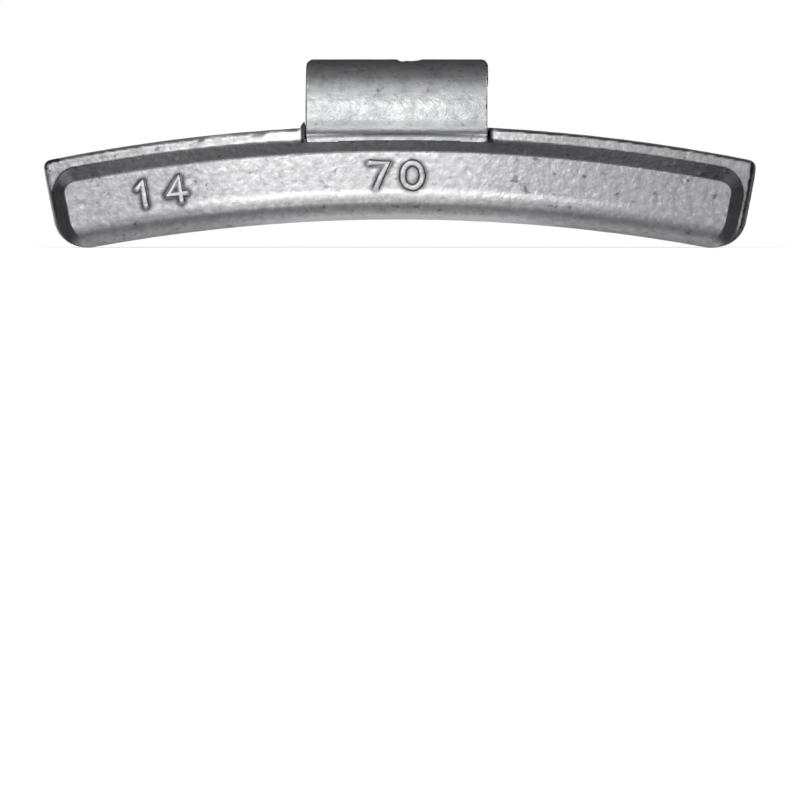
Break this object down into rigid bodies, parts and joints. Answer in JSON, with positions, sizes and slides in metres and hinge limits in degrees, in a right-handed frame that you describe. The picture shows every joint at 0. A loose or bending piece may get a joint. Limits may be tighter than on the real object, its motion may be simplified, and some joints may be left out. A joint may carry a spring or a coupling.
{
  "type": "clip-on wheel balance weight",
  "caption": "Curved cast lead balance weight with a steel spring hook cast in, which clips over the edge of a wheel rim.",
  "frame": {"origin": "on the standing surface, under the middle of the part's box", "axes": "+X along the weight, +Y towards the wheel, +Z away from the wheel's hub when the weight sits at the top of the rim"},
  "size_m": [0.0788, 0.013, 0.0208],
  "materials": {
    "coated_lead": "thin silver-grey coating over an as-cast lead surface, satin",
    "coated_steel": "satin silver coating over bent spring steel strip"
  },
  "bodies": {
    "root": {"cast_weight": "coated_lead", "spring_clip": "coated_steel"}
  },
  "joints": []
}
